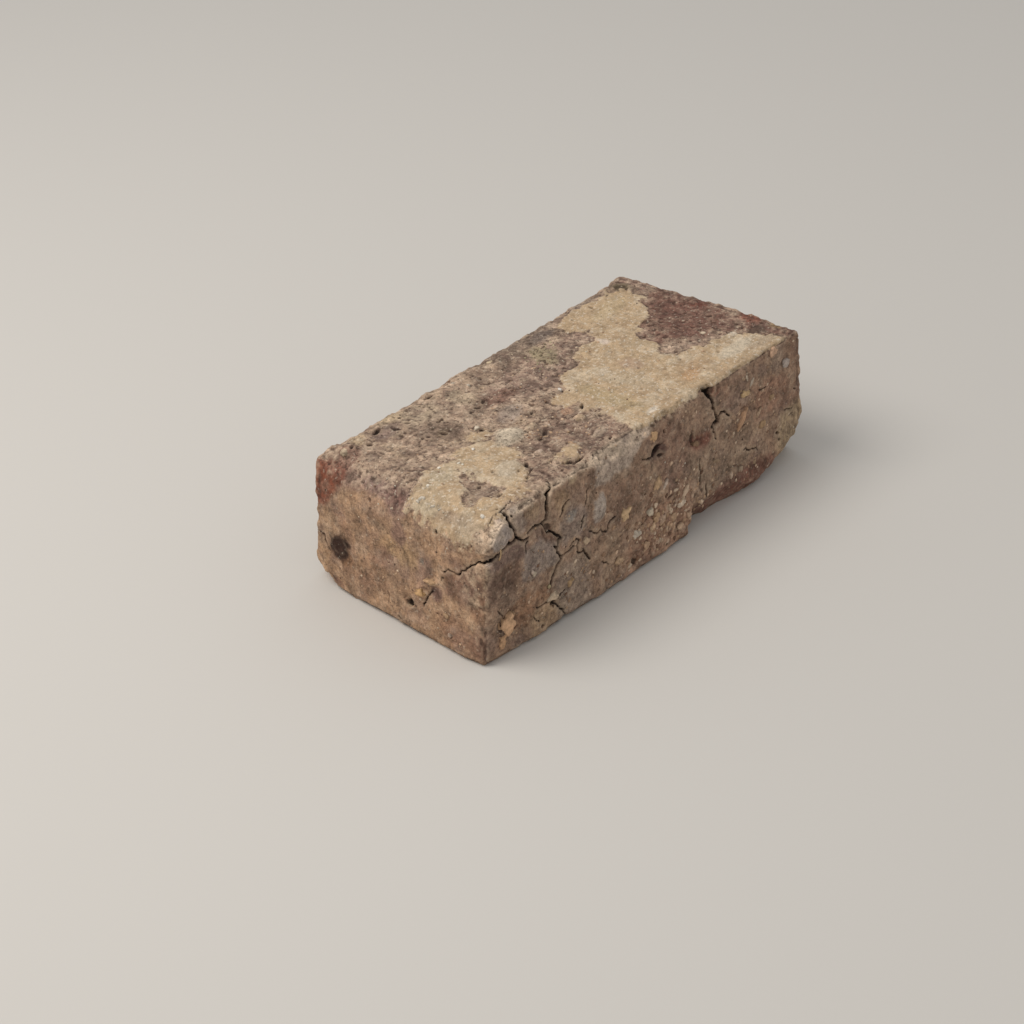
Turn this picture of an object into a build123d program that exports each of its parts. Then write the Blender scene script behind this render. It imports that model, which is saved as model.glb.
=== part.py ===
"""Reclaimed handmade clay brick, one fired piece lying on its bed.

Millimetres. X runs along the brick, from the header at -X to the far end.
Y runs across it, from the cracked front face at -Y to the back face.
Z is up. The origin is the centre of the footprint, on the bed that the brick
rests on. The clay was thrown into a mould by hand, so no two corners match:
the foot of the brick has spread, the top bed leans, and every arris is worn.
"""
from build123d import *
import os

# Nominal size of the brick as it came out of the mould
length = 215.0
width = 100.0
height = 65.0

# How far each corner stands out past that size, (lengthwise, crosswise)
foot_header_front = (6.0, 1.0)
foot_end_front = (4.0, 2.8)
foot_end_back = (1.0, 0.5)
foot_header_back = (-1.0, 4.6)
crown_header_front = (-1.2, 0.0)
crown_end_front = (2.6, 0.8)
crown_end_back = (-0.6, 3.4)
crown_header_back = (-1.0, 0.4)

# How far the middle of each side bows out, at the foot and at the crown
foot_front_bow = 4.0
foot_end_bow = 1.2
foot_back_bow = 1.5
foot_header_bow = 0.8
crown_front_bow = -1.2
crown_end_bow = 1.6
crown_back_bow = -1.2
crown_header_bow = 1.0

# The top bed is higher at the front face, and drops to the back and the far end
front_rise = 1.0
back_drop = 1.4
end_drop = 0.6

# Radii of the four upright arrises
header_front_radius = 3.5
end_front_radius = 5.0
end_back_radius = 8.0
header_back_radius = 8.0

# The arrises round the beds: rubbed round at the top, bevelled at the foot
crown_radius = 2.6
foot_bevel = 2.2

# Radii of the top arrises that have worn much rounder
header_top_radius = 15.0
back_top_radius = 5.5
end_top_radius = 5.5

# Wear on the front top arris: (distance from the header, loss down, loss across)
front_top_wear = [
    (-8, 2.2, 2.2),
    (28, 2.8, 2.4),
    (60, 2.4, 2.4),
    (74, 7.5, 4.5),
    (92, 9.5, 4.2),
    (106, 4.4, 3.2),
    (128, 5.0, 3.8),
    (150, 3.6, 3.4),
    (172, 2.4, 2.4),
]

# Spalled foot of the front face: (distance from the far end, loss up, loss across)
foot_spall = [
    (92, 2.0, 2.0),
    (88.5, 2.2, 2.2),
    (87, 12.0, 7.0),
    (80, 10.0, 7.5),
    (72, 9.0, 4.5),
    (60, 8.0, 4.2),
    (52, 5.0, 2.8),
    (42, 2.4, 2.3),
    (33, 3.2, 2.8),
    (20, 8.0, 5.0),
    (12, 12.0, 7.5),
    (4, 16.0, 8.5),
    (-14, 26.0, 12.0),
]

# Flake lost from the back arris of the header: (height, loss along, loss across)
header_flake = [
    (-8, 12.0, 27.0),
    (8, 5.0, 8.0),
    (22, 3.2, 5.0),
    (36, 1.5, 2.0),
]

# Crumbled socket in the top bed, by the back face and the far end
socket_from_end = 13.0
socket_from_back = 9.5
socket_radius = 7.0
socket_depth = 2.4

# Shallow burnt dimple in the header: from the back arris, and up from the bed
burnt_from_back = 18.0
burnt_height = 24.0
burnt_radius = 6.0
burnt_depth = 1.1

# Broken lip where the far crack reaches the top bed
lip_from_end = 71.0
lip_radius = 5.0
lip_depth = 2.0

# Stones and lumps of mortar that stand out of the top bed:
# (distance from the header, distance from the front face, radius, height)
bed_lumps = [
    (62.5, 42.4, 8.0, 1.1),
    (40.5, 24.0, 6.5, 0.9),
    (61.5, 12.0, 6.0, 0.9),
    (13.0, 89.0, 4.0, 1.0),
]

# Shallow hollows in the top bed, where its sandy layer has crumbled: the same four sizes
bed_hollows = [
    (24.5, 27.0, 8.0, 1.1),
    (31.0, 91.0, 6.0, 1.0),
    (50.0, 57.0, 5.0, 1.0),
    (72.5, 31.0, 5.0, 1.0),
    (75.0, 71.0, 7.0, 1.2),
    (84.0, 18.0, 9.0, 1.1),
    (112.0, 80.0, 10.0, 1.1),
    (196.0, 58.0, 12.0, 1.1),
]

# The same on the front face and on the header:
# (distance from their shared arris, drop below the top bed, radius, height or depth)
front_lumps = [(10.0, 50.5, 4.0, 1.0), (69.5, 23.5, 6.0, 1.1)]
front_hollows = [
    (17.0, 46.0, 6.0, 1.2),
    (88.0, 53.0, 7.0, 1.0),
    (109.0, 15.0, 5.5, 1.2),
    (135.0, 21.0, 6.0, 1.0),
    (170.0, 31.0, 5.0, 1.0),
]
header_lumps = [(36.0, 43.0, 4.0, 1.0)]
header_hollows = [(6.0, 38.0, 5.0, 1.0), (43.0, 50.0, 3.0, 2.4), (52.0, 30.0, 9.0, 1.1)]

# Drying cracks: mouth at the start, mouth at the stop, then points given as
# (distance from the near arris of the face, drop below the top bed)
crack_depth = 5.5
cracks_from_header = [
    (2.0, 2.0, [(-5, 15.5), (3, 15.5), (12, 14), (17, 12)]),
    (2.4, 0.5, [(12, -4), (13, 4), (16.5, 9), (17, 12), (22, 15.5), (26, 16.5)]),
    (2.8, 2.4, [(37.5, -4), (37, 3), (36, 8.5), (32.5, 13)]),
    (2.0, 0.4, [(33, 13.5), (28.5, 12), (23.5, 13.5)]),
    (3.0, 1.6, [(32.5, 12.5), (35, 17.5), (41, 20.5), (45.5, 24), (44, 29), (47.5, 35)]),
    (1.8, 0.4, [(47.5, 34.5), (44.5, 37), (41.5, 41.5), (39, 44.5)]),
    (1.4, 0.4, [(47, 35), (52.5, 34), (56.5, 36.5), (59.5, 39), (64, 44.5)]),
    (0.8, 1.8, [(36, 51.5), (41.5, 53.5), (45, 59.5), (49.5, 68)]),
]
cracks_from_end = [
    (3.0, 0.4, [(69.5, -4.5), (68.5, 4.5), (67, 12.5), (62, 15.5), (54.5, 20)]),
    (1.6, 0.4, [(62.5, 15), (66, 21.5), (64.5, 27.5)]),
]
cracks_in_header = [
    (2.0, 0.4, [(-7, 14.5), (2.5, 15.5), (9.5, 20.5), (13, 25), (19.5, 25.5), (24, 28)]),
]

# A worn round reaches a little past its radius, so that it meets the faces at a slight angle
arris_spans = 4
round_reach = 1.05
round_bulge = 0.40

# A lump's root is a little wider than its cap, and stays buried
lump_root = 1.1

# How far cutting shapes run past the surface
clear = 20.0
crack_clear = 2.5


def corner(side_x, side_y, stands_out, level):
    """A corner of the block before it is rounded."""
    return Vector(
        side_x * (length / 2 + stands_out[0]),
        side_y * (width / 2 + stands_out[1]),
        level,
    )


# The sides in order round the block. Each one starts at the corner listed for it.
following = {"front": "end", "end": "back", "back": "header", "header": "front"}
foot = {
    "front": corner(-1, -1, foot_header_front, 0),
    "end": corner(1, -1, foot_end_front, 0),
    "back": corner(1, 1, foot_end_back, 0),
    "header": corner(-1, 1, foot_header_back, 0),
}
crown = {
    "front": corner(-1, -1, crown_header_front, height + front_rise),
    "end": corner(1, -1, crown_end_front, height + front_rise - end_drop),
    "back": corner(1, 1, crown_end_back, height - back_drop - end_drop),
    "header": corner(-1, 1, crown_header_back, height - back_drop),
}
foot_bow = {"front": foot_front_bow, "end": foot_end_bow, "back": foot_back_bow, "header": foot_header_bow}
crown_bow = {"front": crown_front_bow, "end": crown_end_bow, "back": crown_back_bow, "header": crown_header_bow}
upright_radius = {
    "front": header_front_radius,
    "end": end_front_radius,
    "back": end_back_radius,
    "header": header_back_radius,
}
outward = {
    "front": Vector(0, -1, 0),
    "end": Vector(1, 0, 0),
    "back": Vector(0, 1, 0),
    "header": Vector(-1, 0, 0),
}
upward = Vector(0, 0, 1)


def outline(corners, bows):
    """A level outline of the block: four bowed sides with rounded corners."""
    points = {side: Vector(point.X, point.Y) for side, point in corners.items()}
    arcs = []
    for side, start in points.items():
        stop = points[following[side]]
        arcs.append(ThreePointArc(start, (start + stop) / 2 + outward[side] * bows[side], stop))
    shape = make_face(Curve() + arcs)
    for side, point in points.items():
        sharp = min(shape.vertices(), key=lambda vertex: (Vector(vertex) - point).length)
        shape = fillet(sharp, upright_radius[side])
    return shape


def moulded_block():
    """The block as it was moulded: a loft from the spread foot to the leaning top bed."""
    along = crown["end"] - crown["front"]
    across = crown["header"] - crown["front"]
    middle = sum(crown.values(), Vector()) / len(crown)
    top_bed = Plane(origin=(0, 0, middle.Z), x_dir=(along.X, 0, along.Z), z_dir=along.cross(across))
    block = loft([outline(foot, foot_bow), top_bed * outline(crown, crown_bow)], ruled=True)
    block = fillet(block.faces().sort_by(Axis.Z)[-1].edges(), crown_radius)
    return chamfer(block.faces().sort_by(Axis.Z)[0].edges(), foot_bevel)


def side_point(side, share, drop):
    """A point on one side of the block, at a share of its length, below the top bed."""
    level = 1 - drop / height
    swell = 4 * share * (1 - share)
    low = foot[side] + (foot[following[side]] - foot[side]) * share
    high = crown[side] + (crown[following[side]] - crown[side]) * share
    low += outward[side] * foot_bow[side] * swell
    high += outward[side] * crown_bow[side] * swell
    return low + (high - low) * level


def rounding_tool(side, radius):
    """The corner outside a round, along the whole top arris of one side."""
    out = outward[side]
    run = out.cross(upward)
    reach = radius * round_reach
    sections = []
    for index in range(-1, arris_spans + 2):
        share = index / arris_spans
        edge = side_point(side, share, 0)
        down = side_point(side, share, radius) - edge
        down = (down - run * down.dot(run)).normalized()
        on_side = edge + down * reach
        on_bed = edge - out * reach
        chord_middle = (on_side + on_bed) / 2
        round_middle = chord_middle + (edge - chord_middle) * round_bulge
        waste = [on_side, on_side + out * clear, edge + (out + upward) * clear, on_bed + upward * clear, on_bed]
        worn_line = ThreePointArc(on_bed, round_middle, on_side)
        sections.append(make_face(Curve() + [worn_line, Polyline(*waste)]))
    return loft(sections, ruled=True)


def chipping_tool(stations, start, along, out_first, out_second):
    """Broken edge: triangles that change size along an arris, lofted into one tool."""
    sections = []
    for distance, loss_on_first, loss_on_second in stations:
        place = start + along * distance
        on_first = place - out_second * loss_on_first
        on_second = place - out_first * loss_on_second
        slope = (on_second - on_first).normalized() * clear
        tip = place + (out_first + out_second) * clear
        sections.append(make_face(Polyline(on_first - slope, on_second + slope, tip, close=True)))
    return loft(sections, ruled=True)


def dish(place, out, radius, depth):
    """A shallow round socket: the cap of a sphere that is centred above the surface."""
    ball_radius = (radius ** 2 + depth ** 2) / (2 * depth)
    centre = place + out * (ball_radius - depth)
    return Pos(centre.X, centre.Y, centre.Z) * Sphere(ball_radius)


def bed_point(from_header, from_front):
    """A point on the top bed, measured along and across it from the header's front corner."""
    along = (crown["end"] - crown["front"]).normalized()
    across = (crown["header"] - crown["front"]).normalized()
    return crown["front"] + along * from_header + across * from_front


def lump(place, out, radius, rise):
    """A low round lump: the cap of a sphere that is centred inside the brick, on a short root."""
    ball_radius = (radius ** 2 + rise ** 2) / (2 * rise)
    centre = place - out * (ball_radius - rise)
    root = Plane(origin=place, z_dir=out) * Cylinder(radius * lump_root, 4 * rise)
    return Pos(centre.X, centre.Y, centre.Z) * Sphere(ball_radius) & root


def crack_tool(points, out, start_mouth, stop_mouth):
    """A jagged V groove: triangles set across the line of the crack, lofted in straight runs."""
    sections = []
    last = len(points) - 1
    for index, point in enumerate(points):
        run = points[min(index + 1, last)] - points[max(index - 1, 0)]
        mouth = start_mouth + (stop_mouth - start_mouth) * index / last
        reach = 1 + crack_clear / crack_depth
        half = run.cross(out).normalized() * mouth / 2 * reach
        top = point + out * crack_clear
        sections.append(make_face(Polyline(top - half, top + half, point - out * crack_depth, close=True)))
    return loft(sections, ruled=True)


def worn_block():
    """The block after handling: rounded, chipped and spalled arrises, and three shallow sockets."""
    block = moulded_block()
    block -= rounding_tool("header", header_top_radius)
    block -= rounding_tool("back", back_top_radius)
    block -= rounding_tool("end", end_top_radius)

    top_run = (crown["end"] - crown["front"]).normalized()
    block -= chipping_tool(front_top_wear, crown["front"], top_run, outward["front"], upward)
    foot_run = (foot["front"] - foot["end"]).normalized()
    block -= chipping_tool(foot_spall, foot["end"], foot_run, outward["front"], -upward)
    block -= chipping_tool(header_flake, foot["header"], upward, outward["back"], outward["header"])

    socket = crown["back"] - Vector(socket_from_end, socket_from_back, 0)
    block -= dish(socket, upward, socket_radius, socket_depth)
    burnt = side_point("header", burnt_from_back / width, height - burnt_height)
    block -= dish(burnt, outward["header"], burnt_radius, burnt_depth)
    lip = side_point("front", 1 - lip_from_end / length, 0)
    block -= dish(lip, outward["front"], lip_radius, lip_depth)
    return block


def uneven(block):
    """Add the stones and lumps, and the shallow hollows between them, to the three seen faces."""
    for from_header, from_front, radius, rise in bed_lumps:
        block += lump(bed_point(from_header, from_front), upward, radius, rise)
    for from_header, from_front, radius, depth in bed_hollows:
        block -= dish(bed_point(from_header, from_front), upward, radius, depth)
    for distance, drop, radius, rise in front_lumps:
        block += lump(side_point("front", distance / length, drop), outward["front"], radius, rise)
    for distance, drop, radius, depth in front_hollows:
        block -= dish(side_point("front", distance / length, drop), outward["front"], radius, depth)
    for distance, drop, radius, rise in header_lumps:
        block += lump(side_point("header", 1 - distance / width, drop), outward["header"], radius, rise)
    for distance, drop, radius, depth in header_hollows:
        block -= dish(side_point("header", 1 - distance / width, drop), outward["header"], radius, depth)
    return block


def cracked(block):
    """Cut the drying cracks into the front face and the header."""
    for start_mouth, stop_mouth, marks in cracks_from_header:
        points = [side_point("front", distance / length, drop) for distance, drop in marks]
        block -= crack_tool(points, outward["front"], start_mouth, stop_mouth)
    for start_mouth, stop_mouth, marks in cracks_from_end:
        points = [side_point("front", 1 - distance / length, drop) for distance, drop in marks]
        block -= crack_tool(points, outward["front"], start_mouth, stop_mouth)
    for start_mouth, stop_mouth, marks in cracks_in_header:
        points = [side_point("header", 1 - distance / width, drop) for distance, drop in marks]
        block -= crack_tool(points, outward["header"], start_mouth, stop_mouth)
    return block


# The wear is uneven, so the finished brick is moved until its footprint is centred
brick = cracked(uneven(worn_block()))
footprint = brick.bounding_box().center()
brick = Pos(-round(footprint.X, 1), -round(footprint.Y, 1), 0) * brick

os.makedirs("parts", exist_ok=True)
export_step(brick, "parts/brick.step")
print("brick", brick.is_valid, round(brick.volume), brick.bounding_box())
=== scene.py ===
"""One reclaimed handmade clay brick: its weathered skin, the grit in the clay, and a plain studio."""
import math
import random

import bmesh
import bpy
import numpy as np
from mathutils import Matrix, Vector, noise
from mathutils.bvhtree import BVHTree
from mathutils.kdtree import KDTree


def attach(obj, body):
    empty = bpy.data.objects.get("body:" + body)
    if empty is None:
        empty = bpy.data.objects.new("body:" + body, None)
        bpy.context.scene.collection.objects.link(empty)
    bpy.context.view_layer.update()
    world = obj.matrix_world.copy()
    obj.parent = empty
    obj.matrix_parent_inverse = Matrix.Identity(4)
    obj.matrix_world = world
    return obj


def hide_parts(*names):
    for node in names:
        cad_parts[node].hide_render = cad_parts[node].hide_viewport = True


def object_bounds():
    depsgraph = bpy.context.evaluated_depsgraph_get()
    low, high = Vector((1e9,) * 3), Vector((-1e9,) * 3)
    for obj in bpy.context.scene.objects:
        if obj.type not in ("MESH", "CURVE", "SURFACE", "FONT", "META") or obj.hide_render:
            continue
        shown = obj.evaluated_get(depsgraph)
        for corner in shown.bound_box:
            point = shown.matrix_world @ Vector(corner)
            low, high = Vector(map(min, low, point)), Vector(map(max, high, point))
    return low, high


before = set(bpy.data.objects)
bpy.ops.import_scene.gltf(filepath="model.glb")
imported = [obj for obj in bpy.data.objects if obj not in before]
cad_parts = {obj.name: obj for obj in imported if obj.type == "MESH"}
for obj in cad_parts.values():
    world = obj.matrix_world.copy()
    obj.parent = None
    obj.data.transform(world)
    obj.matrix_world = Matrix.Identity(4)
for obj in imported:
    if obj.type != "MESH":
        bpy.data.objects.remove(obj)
cad_box = [list(corner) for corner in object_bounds()]
scene = bpy.context.scene
scene.view_settings.view_transform = "Standard"

# The viewpoint, the plain pale floor that the brick lies on, and soft light from above
# and from the header's side, which leaves the cracked front face in half shade.
mm = 0.001
floor_reach = 6.0


def paint(red, green, blue):
    """A colour as it is seen, 0 to 255, made into the linear values that a shader takes."""
    seen = [value / 255 for value in (red, green, blue)]
    return [v / 12.92 if v <= 0.04045 else ((v + 0.055) / 1.055) ** 2.4 for v in seen]


def add(name, data):
    """Put a new object into the scene."""
    made = bpy.data.objects.new(name, data)
    scene.collection.objects.link(made)
    return made


def new_material(name, specular):
    """A matt material, with its node tree and its shader."""
    made = bpy.data.materials.new(name)
    made.use_nodes = True
    shader = made.node_tree.nodes["Principled BSDF"]
    shader.inputs["Specular IOR Level"].default_value = specular
    return made, made.node_tree, shader


camera = add("camera", bpy.data.cameras.new("camera"))
camera.data.sensor_width = 36.0
camera.data.lens = 84.375
camera.location = (-0.7011, -0.5970, 0.5845)
camera.rotation_euler = [math.radians(angle) for angle in (57.70, 1.77, -49.21)]
scene.camera = camera

floor_mesh = bmesh.new()
bmesh.ops.create_grid(floor_mesh, x_segments=1, y_segments=1, size=floor_reach)
floor = add("floor", bpy.data.meshes.new("floor"))
floor_mesh.to_mesh(floor.data)
floor_mesh.free()
floor_paint, tree, shader = new_material("pale_floor", 0.2)
shader.inputs["Base Color"].default_value = (*paint(206, 203, 198), 1)
shader.inputs["Roughness"].default_value = 0.9
floor.data.materials.append(floor_paint)

sky = bpy.data.worlds.new("soft_sky")
sky.use_nodes = True
daylight = sky.node_tree.nodes["Background"].inputs
daylight["Color"].default_value = (0.95, 0.94, 0.93, 1)
daylight["Strength"].default_value = 0.585
scene.world = sky

lamp = add("window_light", bpy.data.lights.new("window_light", "AREA"))
lamp.data.shape = "DISK"
lamp.data.size = 0.9
lamp.data.energy = 10.5
lamp.data.color = (1.0, 0.945, 0.88)
lamp.location = (-0.62, 0.46, 1.15)
lamp_aim = Vector((0, 0, 0.03))
lamp.rotation_euler = (lamp_aim - lamp.location).to_track_quat("-Z", "Y").to_euler()

# The brick itself: sandy clay thrown into a mould, dried until it cracked, and fired.
# Its skin is the solid's own surface, cut fine enough to hold the wear of its arrises.
cell = 0.5
weld = 0.002

body = add("brick_body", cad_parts["brick"].data.copy())
clay = bmesh.new()
clay.from_mesh(body.data)
bmesh.ops.remove_doubles(clay, verts=clay.verts, dist=weld * mm)
clay.to_mesh(body.data)
clay.free()


def settle(piece):
    """Make the modified shape of a piece its own mesh, and drop its modifiers."""
    shaped = piece.evaluated_get(bpy.context.evaluated_depsgraph_get())
    mesh = bpy.data.meshes.new_from_object(shaped)
    piece.modifiers.clear()
    piece.data = mesh


remesh = body.modifiers.new("even_skin", "REMESH")
remesh.mode = "VOXEL"
remesh.voxel_size = cell * mm
settle(body)


def read(items, name, kind, width):
    """One value of each item of a mesh, as rows of width numbers."""
    flat = np.empty(len(items) * width, kind)
    items.foreach_get(name, flat)
    return flat.reshape(-1, width)


def write_points(mesh, points):
    mesh.vertices.foreach_set("co", (points * mm).astype(np.float32).ravel())
    mesh.update()


def neighbour_mean(values, edges, count):
    """Each point's neighbours, averaged."""
    total = np.empty_like(values)
    for axis in range(values.shape[1]):
        total[:, axis] = np.bincount(edges[:, 0], values[edges[:, 1], axis], len(values))
        total[:, axis] += np.bincount(edges[:, 1], values[edges[:, 0], axis], len(values))
    return total / count[:, None]


def relax(points, edges, loose, passes):
    """Pull the loose points tight between the others, like a skin."""
    near = loose[edges[:, 0]] | loose[edges[:, 1]]
    ids, local = np.unique(edges[near], return_inverse=True)
    local = local.reshape(-1, 2)
    shape = points[ids]
    free = loose[ids]
    count = np.bincount(local.ravel(), minlength=len(ids))
    for _ in range(passes):
        shape[free] = neighbour_mean(shape, local, count)[free]
    points[ids] = shape


# The drying cracks. The solid's plain V grooves are closed first, along these lines on its
# faces in millimetres, and each crack is opened again later as a narrow ragged fissure:
# (half width at its start and at its stop, depth, points). Every table is kept by face.
grooves = {"front": [
    [(-110, 50), (-104, 50.2), (-99, 51.2), (-95, 51.6), (-92, 53.4), (-89.6, 53.6)],
    [(-93, 65), (-93, 62), (-91.5, 59.5), (-90, 57), (-89.6, 53.6)],
    [(-89.6, 53.6), (-87, 51.8), (-85, 50), (-83, 49), (-81, 49)],
    [(-67.2, 65), (-69, 63), (-70, 60.5), (-70, 57), (-70.4, 54), (-71.4, 52.8), (-74, 52.8)],
    [(-74, 52.8), (-78, 53.5), (-80, 53.5), (-81, 52.5), (-83, 52)],
    [(-74, 52.8), (-73.2, 50), (-71.5, 47.7), (-69, 46.3), (-66, 45), (-64, 43.5), (-62, 41.5)],
    [(-62, 41.5), (-62.8, 38.5), (-64.5, 35.8), (-64, 33.5), (-62.2, 31.3), (-60, 30.5)],
    [(-60, 30.5), (-62.4, 29.6), (-64.2, 28.4), (-65.5, 26.3), (-67, 24), (-68.5, 22), (-70, 20.6)],
    [(-60, 30.5), (-57, 31), (-55, 31.6)],
    [(-56, 33), (-54.5, 34.3), (-52, 34.6), (-51.3, 33), (-51.4, 30)],
    [(-51.4, 30), (-51.6, 27.8), (-50, 26.8), (-48.3, 26.3), (-47, 24), (-46, 22.3), (-44, 20.8)],
    [(-78, 14.2), (-73.5, 13.7), (-70, 12.9)],
    [(-67.6, 10.8), (-66.8, 9), (-65, 5.5), (-63, 2.6), (-61.5, 0.6)],
    [(41.4, 64.6), (41.8, 61.5), (43, 57), (43, 52.8), (44.6, 50.8), (46.5, 50.2)],
    [(46.5, 50.2), (48.5, 50.4), (50.4, 49.6), (53, 47.5), (56.5, 45.2)],
    [(47, 49.8), (45.4, 47), (44.2, 45), (44.2, 41), (44.6, 38.8), (46.4, 37.8)],
], "header": [
    [(-50.5, 50.2), (-48, 50.4), (-44.6, 48.8), (-42.5, 47), (-40, 45)],
    [(-40, 45), (-38, 42.5), (-36, 40.3), (-33, 39.8), (-30.5, 39.8), (-27.5, 38), (-24, 36.8)],
]}
cracks = {"front": [
    (0.55, 0.7, 3.5, [(-106, 48.4), (-103, 49.4), (-101.4, 49.7), (-99.8, 51), (-98, 52), (-95.6, 52.7),
     (-92.3, 52.1), (-89.6, 52.2), (-88.1, 52.8)]),
    (0.55, 0.6, 4, [(-92.6, 66.5), (-91.7, 63.9), (-91.2, 60.4), (-90.1, 58.2), (-89, 55.8),
     (-88.1, 52.8)]),
    (0.6, 0.45, 3.5, [(-88.1, 52.8), (-85.8, 50.5), (-84.4, 49.3), (-83.4, 49.3), (-81.3, 49.8)]),
    (0.3, 0.2, 1.2, [(-82.1, 48.3), (-83.9, 46.8), (-84.3, 43.7)]),
    (0.35, 1, 4, [(-64.4, 66), (-65.6, 63.7), (-66.8, 62.3), (-67.7, 60.4), (-68.4, 58.3)]),
    (0.9, 0.45, 4, [(-68.4, 58.3), (-68.6, 56), (-68.8, 53.7), (-70, 52.3), (-72.2, 51.4), (-74.9, 52)]),
    (0.7, 0.35, 3.5, [(-74.9, 52), (-77.1, 52.4), (-79.3, 52.6), (-81.3, 52.2), (-82.2, 51.7)]),
    (0.3, 0.6, 2.2, [(-72.2, 51.2), (-71.1, 48.7), (-69.6, 46.2), (-67.2, 44.8), (-64.9, 43.2),
     (-62.1, 39.8)]),
    (0.45, 0.3, 2, [(-62.1, 39.8), (-63.9, 39.2), (-64.8, 38.3), (-64.8, 36.5)]),
    (0.4, 0.55, 3, [(-66.8, 38.3), (-65.6, 36), (-65, 33.8), (-63.9, 32)]),
    (0.5, 0.35, 3, [(-63.9, 32), (-61.5, 31.7), (-59.7, 32.4), (-56.9, 32.4), (-54.8, 32.3)]),
    (0.4, 0.3, 2.5, [(-57.7, 33.7), (-56.1, 34.7), (-54.6, 34.9), (-51.1, 33.6)]),
    (0.35, 0.3, 2.5, [(-51.1, 33.6), (-52.6, 32.9), (-53.6, 31.4), (-52.6, 28.5), (-52.3, 27.4),
     (-49.6, 27.3)]),
    (0.35, 0.5, 3, [(-49.6, 28.8), (-49.3, 27.3), (-48.2, 24.5), (-45.5, 21.4)]),
    (0.6, 0.6, 3.5, [(-63.9, 32), (-64.1, 30.4), (-65.5, 29), (-66.7, 27), (-67.9, 25.4), (-69.3, 24),
     (-70.2, 21.8), (-70.9, 20.5)]),
    (0.25, 0.45, 1.5, [(-55.3, 55.3), (-57.8, 54.6), (-59.6, 52.7), (-60.8, 50.8), (-61.7, 49.8)]),
    (0.2, 0.3, 1, [(-42.2, 53.6), (-44.1, 50.8), (-45, 48.3), (-46.3, 47.2)]),
    (0.35, 0.3, 1.5, [(-47.1, 43.2), (-48.1, 41.9), (-48.4, 40.1), (-49.2, 38.3)]),
    (0.35, 0.3, 1.8, [(-44.2, 34.3), (-41.7, 32.7), (-39.3, 31.1), (-37.7, 31.6), (-35.5, 29.7),
     (-34, 29.2)]),
    (0.2, 0.35, 1.3, [(-34, 29.2), (-33.2, 30.6), (-32.1, 32.5), (-31, 33.5), (-29.5, 33.6),
     (-27.6, 33.8)]),
    (0.35, 0.25, 1.1, [(-38.6, 16.5), (-35.4, 14.4), (-33.9, 13)]),
    (0.3, 0.45, 1.4, [(-62.7, 14.6), (-64.9, 13.8), (-67.7, 13.7), (-69.5, 12.6)]),
    (0.4, 0.35, 1.6, [(-70, 11.5), (-67.8, 9.2), (-63.8, 4.3), (-62, 1)]),
    (0.4, 0.25, 1.5, [(-72.8, 14), (-75.3, 14.4), (-78.3, 14.5), (-80.2, 14.6)]),
    (0.3, 0.25, 1.2, [(-102.6, 24.5), (-101.8, 23.4), (-100.1, 20.6)]),
    (0.25, 0.2, 1, [(-82.6, 11.9), (-80.6, 8.8), (-78.9, 6.9)]),
    (1.3, 0.7, 3.5, [(41.6, 63.8), (42.5, 62), (42.9, 60.4), (43.7, 58.1), (44.3, 56)]),
    (0.7, 0.6, 3.5, [(44, 57), (44.2, 53.8), (44.7, 51.8), (45.4, 50), (46.4, 48), (47.6, 46.8)]),
    (0.6, 0.35, 3, [(47.7, 46.6), (47.9, 48.2), (49.5, 49.3), (51.7, 48.3), (52.9, 46.9), (55.4, 45)]),
    (0.9, 0.8, 2, [(46.9, 46), (44, 46.4), (42.2, 45.4)]),
    (0.35, 0.4, 1.8, [(42.8, 45), (43.4, 42.7), (44.5, 40.1), (45.3, 37.6)]),
    (0.3, 0.45, 1.8, [(32.5, 33.7), (31.9, 31.9), (32.7, 28), (32.4, 24.7), (31, 21.9)]),
    (0.5, 0.5, 2, [(34.7, 20.2), (34.6, 17.9), (34.1, 14.5)]),
    (0.35, 0.4, 2, [(-6.8, 51.3), (-3, 50.2), (2.6, 48.5)]),
    (0.25, 0.25, 1, [(8.4, 52.9), (7, 51.7), (5.2, 50.3), (3.1, 48.8)]),
    (0.4, 0.3, 1.5, [(64.1, 23.7), (65.9, 23.5), (67.8, 22.1), (73.7, 20.7), (74.8, 18.7)]),
    (0.3, 0.2, 0.9, [(98, 28.6), (101, 28.2), (104, 27.4)]),
    (0.35, 0.2, 0.9, [(78, 48.2), (81, 47.6), (83, 47.8)]),
], "header": [
    (0.32, 0.36, 2.4, [(-49.6, 49.6), (-47.3, 48.9), (-45.7, 48.6), (-43.7, 47.7), (-42.5, 46.4),
     (-39.4, 44.1)]),
    (0.38, 0.3, 2.4, [(-39.4, 44.1), (-38.2, 42.5), (-36.3, 41), (-35.3, 39.6), (-34.3, 39),
     (-32.5, 38.7)]),
    (0.3, 0.2, 2, [(-32.5, 38.7), (-30.1, 38.8), (-29, 39.6), (-27.3, 37.5), (-25.1, 37)]),
    (0.3, 0.25, 1.4, [(-25.8, 34.1), (-24.5, 32)]),
    (0.35, 0.3, 1.8, [(-19.7, 24.9), (-18.9, 23.4), (-16.6, 20.2), (-14.7, 17.3), (-14.7, 15.6)]),
    (0.3, 0.2, 1.2, [(49, 26), (46.5, 24), (44, 21), (43, 19)]),
], "top": [
    (0.5, 0.5, 1.6, [(39.5, -47.1), (42, -46.9), (44.6, -48.3)]),
    (0.2, 0.25, 0.8, [(-62.6, -43.9), (-63.8, -46.8)]),
    (0.25, 0.2, 0.7, [(-99.5, -43.6), (-96, -43.4), (-92.5, -43.8), (-88.5, -43.6), (-85, -42.6),
     (-82.5, -41.4)]),
]}
outward = {"front": Vector((0, -1, 0)), "header": Vector((-1, 0, 0)), "top": Vector((0, 0, 1))}
beyond_skin = 300
face_level = {"front": 52, "header": 108, "top": 64}
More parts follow.
